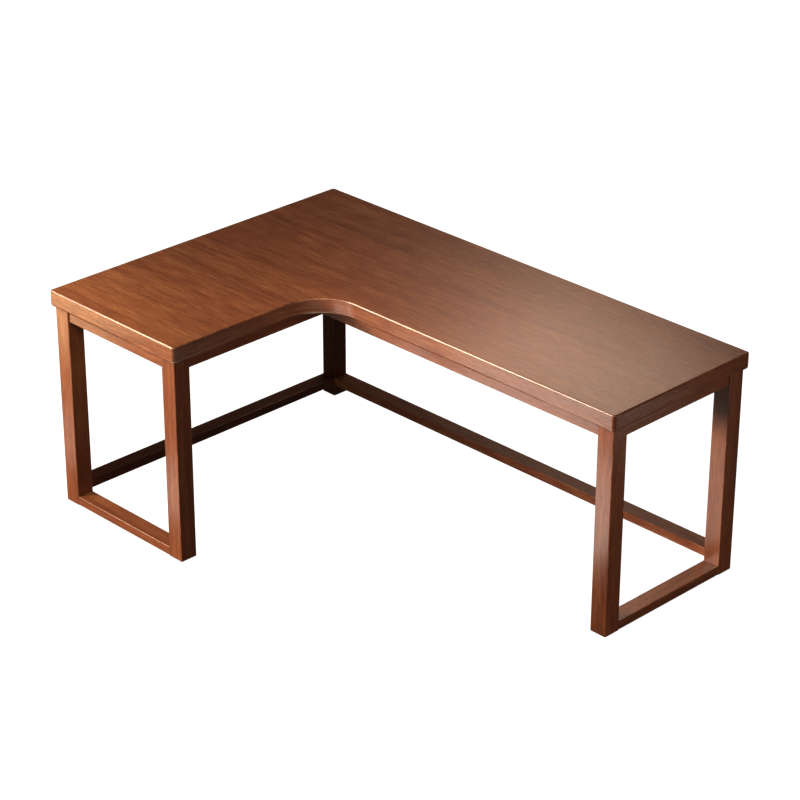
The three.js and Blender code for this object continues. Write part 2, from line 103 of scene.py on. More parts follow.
CAMERA_AZIMUTH = 45.51  # degrees round from straight in front of the desk
CAMERA_ELEVATION = 26.58
CAMERA_ROLL = 0.11
CAMERA_DISTANCE = 8.235
CAMERA_LENS = 119.5
SENSOR_WIDTH = 36
AIM_OFFSET = Vector((-0.032, 0.069, 0.064))  # from the middle of the desk to the point looked at

FLOOR_RADIUS = 60
FLOOR_SIDES = 128


def desk_middle():
    low, high = CAD_BOUNDS
    return (low + high) / 2


def toward(azimuth, elevation):
    """The unit vector towards a viewer at that azimuth and elevation, in degrees."""
    a = math.radians(azimuth)
    e = math.radians(elevation)
    return Vector((math.sin(a) * math.cos(e), -math.cos(a) * math.cos(e), math.sin(e)))


def link(thing):
    bpy.context.scene.collection.objects.link(thing)
    return thing


def make_camera():
    data = bpy.data.cameras.new("camera")
    data.lens = CAMERA_LENS
    data.sensor_width = SENSOR_WIDTH
    camera = link(bpy.data.objects.new("camera", data))
    back = toward(CAMERA_AZIMUTH, CAMERA_ELEVATION)
    camera.location = desk_middle() + AIM_OFFSET + back * CAMERA_DISTANCE
    roll = Quaternion((0, 0, 1), math.radians(CAMERA_ROLL))
    camera.rotation_mode = "QUATERNION"
    camera.rotation_quaternion = (-back).to_track_quat("-Z", "Y") @ roll
    bpy.context.scene.camera = camera


WARM = (1.0, 0.84, 0.66)
AMBER = (1.0, 0.72, 0.53)
GOLD = (1.0, 0.83, 0.46)
SUN = (1.0, 0.92, 0.60)
PALE = (1.0, 0.89, 0.77)
NEUTRAL = (1.0, 0.96, 0.92)
WORLD_COLOUR = (1.0, 0.76, 0.58, 1)
WORLD_STRENGTH = 0.04

UNDER_RETURN = ("left_stretcher", "leg_corner")  # deep in the shade of the return arm
RIGHT_SIDE = ("worktop", "leg_right_front", "right_frame_top_rail", "right_frame_bottom_rail")


class Lamp(NamedTuple):
    """A soft rectangular lamp, which the camera doesn't see."""

    place: tuple
    faces: tuple  # a point that it shines towards
    size: tuple
    watts: float
    colour: tuple
    spread: float = 180  # degrees
    lights: bool = True  # False on a card, which only shows in the lacquer
    shows: bool = True  # False on a lamp that doesn't show in the lacquer
    only_on: tuple = ()  # the CAD nodes that it reaches, if not all
    kept_off: tuple = ()  # the CAD nodes that it doesn't reach


CARD_HEIGHT = 0.01


def floor_card(x, y, size, watts, colour, only_on=()):
    """A card that lies on the floor face up, where the lacquer of an upright face mirrors it."""
    return Lamp((x, y, CARD_HEIGHT), (x, y, 1), size, watts, colour, lights=False, only_on=only_on)


KEY = Lamp((-5.0, -7.0, 2.6), (0.0, 0.0, 0.5), (2.4, 1.2), 1380, WARM)
LAMPS = {
    "key": KEY._replace(kept_off=UNDER_RETURN + ("worktop", "rear_stretcher", "leg_right_front")),
    "top_key": KEY._replace(watts=1120, only_on=("worktop",)),
    "left_key": Lamp(
        (-0.76, -0.97, 1.24), (-0.72, -0.60, 0.74), (1.0, 0.4), 11.8, SUN,
        kept_off=UNDER_RETURN + ("rear_stretcher",),
    ),
    "middle_key": Lamp(
        (0.15, -0.35, 1.35), (0.15, 0.10, 0.74), (1.0, 0.4), 2.2, WARM,
        spread=100, kept_off=UNDER_RETURN,
    ),
    "leg_key": Lamp(
        (0.70, -0.80, 1.30), (0.86, 0.0, 0.5), (0.4, 0.4), 23, WARM,
        only_on=("leg_right_front",),
    ),
    "right_fill": Lamp(
        (4.6, 0.0, 1.3), (0.9, 0.1, 0.4), (1.6, 1.4), 38, WARM,
        kept_off=UNDER_RETURN,
    ),
    "left_fill": Lamp(
        (-4.0, 0.8, 1.6), (-0.9, 0.0, 0.4), (1.5, 1.5), 12, NEUTRAL,
        shows=False, kept_off=UNDER_RETURN,
    ),
    "back_fill": Lamp(
        (-3.0, 4.2, 0.35), (-0.3, 0.3, 0.4), (2.0, 0.6), 190, WARM,
        shows=False,
    ),
    "stretcher_key": Lamp(
        (1.15, -0.45, 0.20), (0.65, 0.56, 0.05), (0.5, 0.25), 7.5, NEUTRAL,
        spread=95, shows=False, only_on=("rear_stretcher",),
    ),
    "card_over_top": Lamp(
        (-1.12, 2.07, 2.10), (-1.12, 2.07, 0.0), (1.2, 1.1), 16.5, AMBER,
        lights=False,
    ),
    "card_over_edge": Lamp(
        (-2.45, -2.15, 3.1), (0.0, -0.2, 0.74), (2.1, 1.4), 320, WARM,
        lights=False, only_on=("worktop",),
    ),
    "card_low_left": floor_card(-2.10, -1.75, (0.8, 1.0), 9.0, GOLD),
    "card_low_middle": floor_card(-0.45, -1.15, (1.0, 0.7), 12.3, PALE, ("worktop", "front_apron")),
    "card_low_outer": floor_card(-1.18, -0.92, (0.4, 0.35), 0.5, PALE, ("leg_left_outer",)),
    "card_low_inner": floor_card(-0.65, -0.90, (0.4, 0.3), 0.6, PALE, ("leg_left_inner",)),
    "card_low_right": floor_card(0.27, -0.47, (0.6, 0.7), 4.3, PALE, RIGHT_SIDE),
    "card_low_rear": floor_card(0.45, 0.13, (0.6, 0.64), 1.9, PALE, ("leg_right_back",)),
    "card_low_side": floor_card(0.69, 0.62, (0.3, 0.6), 0.16, PALE, ("worktop",)),
    "card_low_back": floor_card(1.95, 1.05, (0.4, 0.7), 0.9, PALE),
}


def make_lamp(name, lamp):
    data = bpy.data.lights.new(name, "AREA")
    data.shape = "RECTANGLE"
    data.size, data.size_y = lamp.size
    data.energy = lamp.watts
    data.color = lamp.colour
    data.spread = math.radians(lamp.spread)
    made = link(bpy.data.objects.new(name, data))
    made.location = lamp.place
    made.rotation_mode = "QUATERNION"
    made.rotation_quaternion = (Vector(lamp.faces) - made.location).to_track_quat("-Z", "Y")
    made.visible_camera = False
    made.visible_diffuse = lamp.lights
    made.visible_glossy = lamp.shows


def make_lights():
    """Warm keys from the front left, fills, cards that the lacquer mirrors, and a weak light all round."""
    world = bpy.data.worlds.new("studio")
    world.use_nodes = True
    background = world.node_tree.nodes["Background"]
    background.inputs["Color"].default_value = WORLD_COLOUR
    background.inputs["Strength"].default_value = WORLD_STRENGTH
    bpy.context.scene.world = world
    for name, lamp in LAMPS.items():
        make_lamp(name, lamp)
    view = bpy.context.scene.view_settings
    view.view_transform = "Standard"
    view.look = "None"
    view.exposure = 0


def link_lamp(name, nodes, state):
    """Lets a lamp reach only these pieces (INCLUDE), or all but these (EXCLUDE)."""
    receivers = bpy.data.collections.new(f"{name}_receivers")
    for node in nodes:
        receivers.objects.link(bpy.data.objects[f"{node}_visual"])
    for member in receivers.collection_objects:
        member.light_linking.link_state = state
    bpy.data.objects[name].light_linking.receiver_collection = receivers


def link_lamps():
    """Ties lamps to their pieces, once the pieces are there."""
    for name, lamp in LAMPS.items():
        if lamp.only_on:
            link_lamp(name, lamp.only_on, "INCLUDE")
        if lamp.kept_off:
            link_lamp(name, lamp.kept_off, "EXCLUDE")


def make_floor():
    """A plain pale floor with no edge in sight."""
    mesh = bpy.data.meshes.new("floor")
    builder = bmesh.new()
    bmesh.ops.create_circle(builder, cap_ends=True, segments=FLOOR_SIDES, radius=FLOOR_RADIUS)
    builder.to_mesh(mesh)
    builder.free()
    floor = link(bpy.data.objects.new("floor", mesh))
    mesh.materials.append(pale_floor())
    floor.visible_diffuse = False
    floor.visible_glossy = False


# ----- Material recipes -----


class Recipe:
    """A node material, put together one named step at a time."""

    MIX_COLOUR_INPUTS = (6, 7)  # the two colours of a Mix node
    MIX_COLOUR_OUTPUT = 2

    def __init__(self, name):
        self.material = bpy.data.materials.new(name)
        self.material.use_nodes = True
        self.tree = self.material.node_tree
        self.tree.nodes.clear()
        self.surface = self.tree.nodes.new("ShaderNodeBsdfPrincipled")
        output = self.tree.nodes.new("ShaderNodeOutputMaterial")
        self.tree.links.new(self.surface.outputs["BSDF"], output.inputs["Surface"])

    def feed(self, socket, value):
        """Links a socket to another node's output, or sets it to a plain value."""
        if isinstance(value, bpy.types.NodeSocket):
            self.tree.links.new(value, socket)
        else:
            socket.default_value = value

    def node(self, kind, settings, inputs):
        made = self.tree.nodes.new("ShaderNode" + kind)
        for key, value in settings.items():
            setattr(made, key, value)
        for key, value in inputs.items():
            self.feed(made.inputs[key], value)
        return made

    def finish(self, **sockets):
        """Fills the shader's own sockets, each named with _ for a space, and returns the material."""
        for key, value in sockets.items():
            self.feed(self.surface.inputs[key.replace("_", " ")], value)
        return self.material

    def attribute(self, name, output="Vector"):
        return self.node("Attribute", {"attribute_name": name}, {}).outputs[output]

    def place(self):
        """The point's place in the desk's frame."""
        return self.node("TexCoord", {}, {}).outputs["Object"]

    def combine(self, operation, a, b):
        return self.node("Math", {"operation": operation}, {0: a, 1: b}).outputs[0]

    def combine_vectors(self, operation, a, b):
        return self.node("VectorMath", {"operation": operation}, {0: a, 1: b}).outputs[0]

    def length(self, vector):
        return self.node("VectorMath", {"operation": "LENGTH"}, {0: vector}).outputs["Value"]

    def noise(self, at, lump, detail=2.0, roughness=0.5):
        """Smooth noise about 0.5, whose lumps have these sizes along the three axes, in metres."""
        scaled = self.combine_vectors("DIVIDE", at, lump)
        inputs = {"Vector": scaled, "Scale": 1.0, "Detail": detail, "Roughness": roughness}
        return self.node("TexNoise", {}, inputs).outputs[0]

    def line_noise(self, distance, lump, detail=2.0):
        """Smooth noise that changes only with a distance."""
        scaled = self.combine("DIVIDE", distance, lump)
        inputs = {"W": scaled, "Scale": 1.0, "Detail": detail}
        return self.node("TexNoise", {"noise_dimensions": "1D"}, inputs).outputs[0]

    def swing(self, value, gain):
        """Noise turned to lie about 0, and made stronger or weaker."""
        return self.combine("MULTIPLY", self.combine("SUBTRACT", value, 0.5), gain)

    def total(self, first, *others):
        result = first
        for other in others:
            result = self.combine("ADD", result, other)
        return result

    def fade(self, value, start, end):
        """0 up to start, 1 from end on, and a smooth step between."""
        inputs = {"Value": value, "From Min": start, "From Max": end}
        return self.node("MapRange", {"interpolation_type": "SMOOTHSTEP"}, inputs).outputs[0]

    def tones(self, value, stops):
        """Colours along a value: stops are (position, colour) pairs."""
        made = self.node("ValToRGB", {}, {"Fac": value})
        elements = made.color_ramp.elements
        for position, _ in stops[len(elements):]:
            elements.new(position)
        for element, (position, colour) in zip(elements, stops):
            element.position = position
            element.color = (*colour, 1)
        return made.outputs["Color"]

    def mix(self, share, a, b):
        made = self.node("Mix", {"data_type": "RGBA"}, {"Factor": share})
        for key, colour in zip(self.MIX_COLOUR_INPUTS, (a, b)):
            self.feed(made.inputs[key], colour)
        return made.outputs[self.MIX_COLOUR_OUTPUT]

    def bump(self, height, depth, under=None):
        """A normal for relief whose height goes from 0 to 1 over a depth in metres."""
        inputs = {"Height": height, "Distance": depth}
        if under is not None:
            inputs["Normal"] = under
        return self.node("Bump", {}, inputs).outputs["Normal"]


# Stain on wood, from the open pores to the palest streaks
STAIN = [
    (0.00, (0.040, 0.010, 0.005)),
    (0.30, (0.110, 0.030, 0.013)),
    (0.55, (0.190, 0.054, 0.024)),
    (0.78, (0.300, 0.110, 0.043)),
    (1.00, (0.430, 0.200, 0.084)),
]
MIDDLE_TONE = 0.575  # where wood with no figure lies on it
RUBBED_EDGE = (0.46, 0.20, 0.085, 1)
RUBBED_MOST = 0.35

# The figure's lumps: along the grain, across it and through it, in metres
SWAY_LUMP = (0.40, 0.12, 0.12)
BAND_LUMP = (0.55, 0.035, 0.035)
BLOTCH_LUMP = (0.11, 0.035, 0.035)
STREAK_LUMP = (0.090, 0.0036, 0.0036)
FIBRE_LUMP = (0.020, 0.0006, 0.0006)
PORE_LUMP = (0.030, 0.0014, 0.0014)
RUB_LUMP = (0.05, 0.02, 0.02)
FILM_LUMP = (0.060, 0.030, 0.030)

HEART_SWAY = 0.06  # how far the tree's heart wanders
FIBRE_GAIN = 0.25
PORE_TONE = -0.14
LACQUER_ROUGHNESS = 0.32
FILM_DEPTH = 0.00010  # the lacquer's slow waves
GRAIN_DEPTH = 0.00007  # the streaks and pores that still show through it


def stained_wood(name, ring_width, ring_gain, band_gain, streak_gain):
    """Wood under a reddish-brown stain and a satin lacquer, its grain along the first axis of wood_at."""
    wood = Recipe(name)
    at = wood.attribute("wood_at")

    # Growth rings lie round the heart of the tree, which sways a little along the board
    sway = wood.combine_vectors("MULTIPLY", wood.noise(at, SWAY_LUMP), (0, HEART_SWAY, HEART_SWAY))
    from_heart = wood.combine_vectors("ADD", wood.combine_vectors("MULTIPLY", at, (0, 1, 1)), sway)
    rings = wood.line_noise(wood.length(from_heart), ring_width, detail=3)

    bands = wood.noise(at, BAND_LUMP)
    blotches = wood.noise(at, BLOTCH_LUMP)
    streaks = wood.noise(at, STREAK_LUMP, roughness=0.6)
    fibres = wood.noise(at, FIBRE_LUMP)
    pores = wood.fade(wood.noise(at, PORE_LUMP, detail=1), 0.50, 0.66)

    tone = wood.total(
        MIDDLE_TONE,
        wood.swing(rings, ring_gain),
        wood.swing(bands, band_gain),
        wood.swing(blotches, 0.5 * band_gain),
        wood.swing(streaks, streak_gain),
        wood.swing(fibres, FIBRE_GAIN),
        wood.combine("MULTIPLY", pores, PORE_TONE),
    )
    colour = wood.tones(tone, STAIN)

    # Handling rubs the lacquer thin along the edges, in patches
    rub = wood.fade(wood.noise(at, RUB_LUMP, detail=3), 0.45, 0.65)
    worn = wood.combine("MULTIPLY", wood.attribute("wear_at", "Fac"), rub)
    colour = wood.mix(wood.combine("MULTIPLY", worn, RUBBED_MOST), colour, RUBBED_EDGE)

    roughness = wood.total(
        LACQUER_ROUGHNESS,
        wood.swing(blotches, 0.12),
        wood.swing(streaks, 0.14),
        wood.combine("MULTIPLY", pores, 0.12),
        wood.combine("MULTIPLY", worn, 0.10),
    )
    film = wood.bump(wood.noise(at, FILM_LUMP, detail=1), FILM_DEPTH)
    grain = wood.total(wood.swing(streaks, 1.0), wood.combine("MULTIPLY", pores, -0.6))
    return wood.finish(
        Base_Color=colour,
        Roughness=roughness,
        Normal=wood.bump(grain, GRAIN_DEPTH, under=film),
        IOR=1.5,
        Coat_Weight=0.35,
        Coat_Roughness=0.18,
    )


SOFTWOOD_RING = 0.004
SOFTWOOD = [(0.0, (0.30, 0.15, 0.060)), (0.5, (0.52, 0.33, 0.165)), (1.0, (0.66, 0.47, 0.27))]
GRIME = (0.30, 0.19, 0.11, 1)
ZINC = [(0.3, (0.42, 0.44, 0.47)), (0.7, (0.66, 0.67, 0.69))]
NYLON = [(0.0, (0.018, 0.012, 0.009)), (1.0, (0.075, 0.058, 0.048))]


def bare_wood(name):
    """Sanded softwood with no finish, as hidden blocks are left."""
    wood = Recipe(name)
    at = wood.attribute("wood_at")
    from_heart = wood.length(wood.combine_vectors("MULTIPLY", at, (0, 1, 1)))
    rings = wood.line_noise(from_heart, SOFTWOOD_RING)
    fibres = wood.noise(at, (0.030, 0.0009, 0.0009), detail=3)
    tone = wood.total(0.5, wood.swing(rings, 1.6), wood.swing(fibres, 0.7))
    colour = wood.tones(tone, SOFTWOOD)
    scuffs = wood.fade(wood.noise(at, (0.03, 0.01, 0.01), detail=3), 0.55, 0.75)
    colour = wood.mix(wood.combine("MULTIPLY", scuffs, 0.25), colour, GRIME)
    roughness = wood.total(0.72, wood.swing(fibres, 0.2))
    return wood.finish(Base_Color=colour, Roughness=roughness, Normal=wood.bump(fibres, 0.0002))


def zinc_steel(name):
    """Bright zinc plate: bluish, a little clouded, with fine turning marks."""
    metal = Recipe(name)
    at = metal.place()
    clouds = metal.noise(at, (0.004, 0.004, 0.004), detail=3)
    marks = metal.noise(at, (0.010, 0.010, 0.0003), detail=1)
    colour = metal.tones(clouds, ZINC)
    roughness = metal.total(0.30, metal.swing(clouds, 0.25), metal.swing(marks, 0.12))
    normal = metal.bump(marks, 0.00002)
    return metal.finish(Base_Color=colour, Roughness=roughness, Normal=normal, Metallic=1.0)


def moulded_nylon(name):
    """Dark brown nylon with a fine moulded texture, scuffed where it slides."""
    nylon = Recipe(name)
    at = nylon.place()
    texture = nylon.noise(at, (0.0004, 0.0004, 0.0004), detail=2)
    scuffs = nylon.fade(nylon.noise(at, (0.003, 0.0008, 0.002), detail=3), 0.5, 0.7)
    tone = nylon.total(nylon.combine("MULTIPLY", scuffs, 0.5), nylon.swing(texture, 0.4))
    colour = nylon.tones(tone, NYLON)
    roughness = nylon.total(0.5, nylon.swing(texture, 0.2), nylon.combine("MULTIPLY", scuffs, 0.15))
    return nylon.finish(Base_Color=colour, Roughness=roughness, Normal=nylon.bump(texture, 0.00005))


def pale_floor():
    """A matt floor lit from within, so that it looks white and even and takes only soft shadows."""
    floor = Recipe("floor")
    return floor.finish(
        Base_Color=(0.16, 0.16, 0.16, 1),
        Roughness=0.9,
        Specular_IOR_Level=0.0,
        Emission_Color=(1.0, 1.0, 1.0, 1),
        Emission_Strength=1.1,
    )


TOP_FIGURE = {"ring_width": 0.011, "ring_gain": 0.20, "band_gain": 0.35, "streak_gain": 0.85}
BAR_FIGURE = {"ring_width": 0.009, "ring_gain": 0.25, "band_gain": 0.45, "streak_gain": 0.45}
MATERIALS = {
    "worktop_wood": stained_wood("worktop_wood", **TOP_FIGURE),
    "leg_wood": stained_wood("leg_wood", **BAR_FIGURE),
    "rail_wood": stained_wood("rail_wood", **BAR_FIGURE),
    "block_wood": bare_wood("block_wood"),
    "zinc_steel": zinc_steel("zinc_steel"),
    "glide_nylon": moulded_nylon("glide_nylon"),
}

# ----- Grain: where each piece was cut from its tree -----

TREE_LENGTH = 40  # metres of wood, so that no two pieces match
HEART_RANGE = (0.8, 1.4)  # how far the distances to the tree's heart vary
BAR_HEART = (0.06, 0.05)  # the heart's distance across a bar or block and through it
TOP_HEART = (1.7, 0.5)  # far from the worktop, so its rings run nearly straight
RIM_HEART = (0.05, 0.04)


class Grain:
    """The directions of a piece's grain, and its place in the tree that it was sawn from."""

    def __init__(self, name, middle, along, across, heart=BAR_HEART):
        draw = random.Random(name)
        self.along = along.normalized()
        self.across = across.normalized()
        self.through = self.along.cross(self.across)
        self.middle = middle
        self.start = draw.uniform(0, TREE_LENGTH)
        self.aside = heart[0] * draw.uniform(*HEART_RANGE) * draw.choice((-1, 1))
        self.deep = heart[1] * draw.uniform(*HEART_RANGE) * draw.choice((-1, 1))

    def at(self, point):
        """A point of the piece as (along the grain, across it, through it), from the tree's heart."""
        away = point - self.middle
        return (
            self.start + away.dot(self.along),
            self.aside + away.dot(self.across),
            self.deep + away.dot(self.through),
        )


def lay_grain(mesh, grain_at):
    """Stores wood_at on every face corner. grain_at gets the polygon and the number of the point."""
    attribute = mesh.attributes.new("wood_at", "FLOAT_VECTOR", "CORNER")
    for polygon in mesh.polygons:
        for loop in polygon.loop_indices:
            attribute.data[loop].vector = grain_at(polygon, mesh.loops[loop].vertex_index)


# ----- Mesh helpers -----


def make_mesh(name, points, faces, wear=None):
    """A mesh from points and faces. wear is how much each point is rubbed, from 0 to 1."""
    mesh = bpy.data.meshes.new(name)
    mesh.from_pydata([tuple(point) for point in points], [], faces)
    attribute = mesh.attributes.new("wear_at", "FLOAT", "POINT")
    if wear is not None:
        attribute.data.foreach_set("value", wear)
    mesh.update()
    return mesh


def strips(first, second):
    """Quads between two closed rings of point numbers."""
    count = len(first)
    return [
        (first[i], first[(i + 1) % count], second[(i + 1) % count], second[i])
        for i in range(count)
    ]


def quarter_turn(steps):
    """Angles from 0 to a right angle."""
    return [math.pi / 2 * k / steps for k in range(steps + 1)]


def ring_on_bar(half_u, half_v, radius):
    """A rectangle with rounded corners about the origin, as (u, v, wear), counter-clockwise."""
    ring = []
    for quadrant in range(4):
        turn = quadrant * math.pi / 2
        side_u, side_v = [(1, 1), (-1, 1), (-1, -1), (1, -1)][quadrant]
        for angle in quarter_turn(ARC_STEPS):
            u = side_u * (half_u - radius) + radius * math.cos(turn + angle)
            v = side_v * (half_v - radius) + radius * math.sin(turn + angle)
            ring.append((u, v, math.sin(2 * angle)))
    return ring


def rounded_bar(name, axis, low, high, edge):
    """A bar along an axis that fills the box from low to high, with rounded edges and eased ends."""
    along = AXIS_INDEX[axis]
    u_axis, v_axis = (along + 1) % 3, (along + 2) % 3
    middle = (low + high) / 2
    half = (high - low) / 2
    stations = [
        (low[along] + END_EASE * (1 - math.cos(a)), END_EASE * (1 - math.sin(a)), math.sin(2 * a))
        for a in quarter_turn(EASE_STEPS)
    ]
    stations += [(2 * middle[along] - place, inset, wear) for place, inset, wear in reversed(stations)]
    points, wear, rings = [], [], []
    for place, inset, end_wear in stations:
        ring = ring_on_bar(half[u_axis] - inset, half[v_axis] - inset, edge - inset)
        rings.append(range(len(points), len(points) + len(ring)))
        for u, v, edge_wear in ring:
            point = [0, 0, 0]
            point[along] = place
            point[u_axis] = middle[u_axis] + u
            point[v_axis] = middle[v_axis] + v
            points.append(point)
            wear.append(max(edge_wear, end_wear))
    faces = [tuple(reversed(rings[0])), tuple(rings[-1])]
    for first, second in zip(rings, rings[1:]):
        faces += strips(first, second)
    return make_mesh(name, points, faces, wear)


def box_mesh(name, low, high):
    """A plain block, used to cut with."""
    points = [(x, y, z) for z in (low[Z], high[Z]) for y in (low[Y], high[Y]) for x in (low[X], high[X])]
    faces = [(0, 2, 3, 1), (4, 5, 7, 6), (0, 1, 5, 4), (1, 3, 7, 5), (3, 2, 6, 7), (2, 0, 4, 6)]
    return make_mesh(name, points, faces)


def turned(name, origin, direction, profile, sides=TURNED_SIDES, shaped=None, closed=False):
    """A part turned about a line: profile is (distance, radius) pairs along it.

    A profile starts and ends on the line, or closes on itself round a bore.
    shaped(angle, distance, radius) may change the radius at each point.
    """
    turn = Vector((0, 0, 1)).rotation_difference(direction.normalized())
    points, rings = [], []
    for distance, radius in profile:
        start = len(points)
        if radius == 0:
            points.append(origin + turn @ Vector((0, 0, distance)))
            rings.append([start] * sides)
            continue
        for k in range(sides):
            angle = 2 * math.pi * k / sides
            r = shaped(angle, distance, radius) if shaped else radius
            points.append(origin + turn @ Vector((r * math.cos(angle), r * math.sin(angle), distance)))
        rings.append(list(range(start, start + sides)))
    pairs = list(zip(rings, rings[1:]))
    if closed:
        pairs.append((rings[-1], rings[0]))
    faces = []
    for first, second in pairs:
        for quad in strips(first, second):
            corners = list(dict.fromkeys(quad))
            faces.append(tuple(corners))
    return make_mesh(name, points, faces)


def drill(start, end, radius):
    """A round cutter from one point to another."""
    run = end - start
    profile = [(0, 0), (0, radius), (run.length, radius), (run.length, 0)]
    return turned("drill", start, run, profile, sides=HOLE_SIDES)


def prism(name, outline, low, high, edge):
    """A block of the given plan outline, counter-clockwise, with every edge eased."""
    builder = bmesh.new()
    bottom = [builder.verts.new((x, y, low)) for x, y in outline]
    top = [builder.verts.new((x, y, high)) for x, y in outline]
    builder.faces.new(reversed(bottom))
    builder.faces.new(top)
    for i in range(len(outline)):
        j = (i + 1) % len(outline)
        builder.faces.new((bottom[i], bottom[j], top[j], top[i]))
    bmesh.ops.bevel(
        builder, geom=builder.edges[:], offset=edge, segments=EASE_STEPS, affect="EDGES", profile=0.5
    )
    mesh = bpy.data.meshes.new(name)
    builder.to_mesh(mesh)
    builder.free()
    mesh.attributes.new("wear_at", "FLOAT", "POINT")
    return mesh


def combine_solids(piece, others, operation):
    """Joins or cuts a piece by other meshes, and keeps its attributes. The others are used up."""
    for mesh in others:
        cutter = link(bpy.data.objects.new("cutter", mesh))
        modifier = piece.modifiers.new("cut", "BOOLEAN")
        modifier.operation = operation
        modifier.solver = "EXACT"
        modifier.object = cutter
        depsgraph = bpy.context.evaluated_depsgraph_get()
        result = bpy.data.meshes.new_from_object(piece.evaluated_get(depsgraph), depsgraph=depsgraph)
        piece.modifiers.clear()
        piece.data = result
        bpy.data.objects.remove(cutter)
        bpy.data.meshes.remove(mesh)


def add_piece(node, mesh, material, cutters=(), joined=()):
    """Puts a finished mesh in the place of the CAD node of the same name."""
    piece = link(bpy.data.objects.new(f"{node}_visual", mesh))
    combine_solids(piece, joined, "UNION")
    combine_solids(piece, cutters, "DIFFERENCE")
    piece.data.materials.clear()
    piece.data.materials.append(MATERIALS[material])
    piece.data.shade_smooth()
    piece.data.set_sharp_from_angle(angle=SHARP_ANGLE)
    weighted = piece.modifiers.new("flat_faces", "WEIGHTED_NORMAL")
    weighted.keep_sharp = True
    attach(piece, BODY)
    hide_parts(node)
    return piece


# ----- Joinery: every hole that a piece needs, from the parts that fit in it -----

FRAMES = {
    "left_frame": ("x", "leg_left_outer", "leg_left_inner"),
    "right_frame": ("y", "leg_right_front", "leg_right_back"),
}
RAILS = {f"{side}_{level}_rail": ends for side, ends in FRAMES.items() for level in ("top", "bottom")}
STRETCHERS = {"left_stretcher": "y", "rear_stretcher": "x"}
APRONS = {"rear_apron": "x", "front_apron": "x", "left_apron": "y", "inner_apron": "y"}


def nodes_named(start):
    return sorted(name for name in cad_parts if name.startswith(start))


CAMS = [name for name in nodes_named("cam_") if not name.startswith("cam_bolt_")]


def middle_of(node):
    low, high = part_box(node)
    return (low + high) / 2


def upright_part(node):
    """The middle of an upright turned part's underside, its radius and its height."""
    low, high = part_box(node)
    middle = (low + high) / 2
    return Vector((middle.x, middle.y, low.z)), (high.x - low.x) / 2, high.z - low.z


def meets(one, other):
    """True if the boxes of two CAD nodes meet."""
    low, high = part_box(one)
    other_low, other_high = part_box(other)
    return all(other_high[axis] > low[axis] and other_low[axis] < high[axis] for axis in (X, Y, Z))


def rod_ends(node, direction):
    """Both ends of a CAD rod that lies along a direction, and its radius."""
    middle = middle_of(node)
    low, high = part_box(node)
    reach = max((vertex.co - middle).dot(direction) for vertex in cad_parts[node].data.vertices)
    return middle - direction * reach, middle + direction * reach, (high.z - low.z) / 2


def tenon_box(rail):
    """The box of a rail's tenons, from the CAD points at the very end of the rail."""
    along = AXIS_INDEX[RAILS[rail][0]]
    low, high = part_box(rail)
    end = [v.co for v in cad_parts[rail].data.vertices if v.co[along] < low[along] + FIT]
    for axis in {X, Y, Z} - {along}:
        low[axis] = min(point[axis] for point in end)
        high[axis] = max(point[axis] for point in end)
    return low, high


def mortise(rail):
    """A cutter for the mortises that take a rail's two tenons."""
    low, high = tenon_box(rail)
    room = Vector((FIT, FIT, FIT))
    room[AXIS_INDEX[RAILS[rail][0]]] = HOLE_END
    return box_mesh("mortise", low - room, high + room)


def rod_hole(start, end, radius):
    """A hole for a rod, a little wider and deeper than it."""
    past = (end - start).normalized() * HOLE_END
    return drill(start - past, end + past, radius + FIT)


def upright_hole(node, bottom, top, radius):
    """A hole on the axis of an upright part, between two heights."""
    x, y, _ = middle_of(node)
    return drill(Vector((x, y, bottom)), Vector((x, y, top)), radius)


def hanger_line(place):
    """The ends of a hanger bolt, from inside its leg to past its brace, and its radius."""
    inward = middle_of(f"corner_brace_{place}") - middle_of(f"leg_{place}")
    direction = Vector((math.copysign(1, inward.x), math.copysign(1, inward.y), 0)).normalized()
    return rod_ends(f"hanger_bolt_{place}", direction)


def cam_line(bolt):
    """The ends of a cam bolt, from inside its leg to its cam, and its radius."""
    to_cam = middle_of(bolt.replace("cam_bolt_", "cam_")) - middle_of(bolt)
    to_cam.z = 0
    return rod_ends(bolt, to_cam.normalized())


def cam_bolt_holes(node):
    return [rod_hole(*cam_line(bolt)) for bolt in nodes_named("cam_bolt_") if meets(node, bolt)]


def cam_hole(cam):
    """The round pocket for a cam, open below."""
    low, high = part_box(cam)
    return upright_hole(cam, low.z - 2 * HOLE_END, high.z + HOLE_END, (high.x - low.x) / 2 + FIT)


def screw_holes(screw):
    """The counterbore below a top screw's head, and the hole for its shank."""
    low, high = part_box(screw)
    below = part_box("rear_apron")[0].z - HOLE_END
    seat = low.z + SCREW_HEAD_HEIGHT + FIT
    return [
        upright_hole(screw, below, seat, COUNTERBORE_RADIUS),
        upright_hole(screw, seat - FIT, high.z + HOLE_END, SCREW_SHANK_RADIUS + FIT),
    ]


def glide_hole(glide, foot):
    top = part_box(glide)[1].z + HOLE_END
    return upright_hole(glide, foot - HOLE_END, top, GLIDE_PIN_RADIUS + FIT)


def all_screw_holes(node):
    screws = [screw for screw in nodes_named("top_screw_") if meets(node, screw)]
    return [hole for screw in screws for hole in screw_holes(screw)]


# ----- Worktop -----


def worktop_corners():
    """The worktop's plan, counter-clockwise, as corners with their radii."""
    low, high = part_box("worktop")
    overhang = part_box("leg_left_outer")[0].x - low.x
    inner_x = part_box("leg_left_inner")[1].x + overhang
    inner_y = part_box("leg_right_front")[0].y - overhang
    outer = TOP_CORNER_RADIUS
    return [
        (Vector((low.x, low.y)), outer),
        (Vector((inner_x, low.y)), outer),
        (Vector((inner_x, inner_y)), INNER_RADIUS),
        (Vector((high.x, inner_y)), outer),
        (Vector((high.x, high.y)), outer),
        (Vector((low.x, high.y)), outer),
    ]


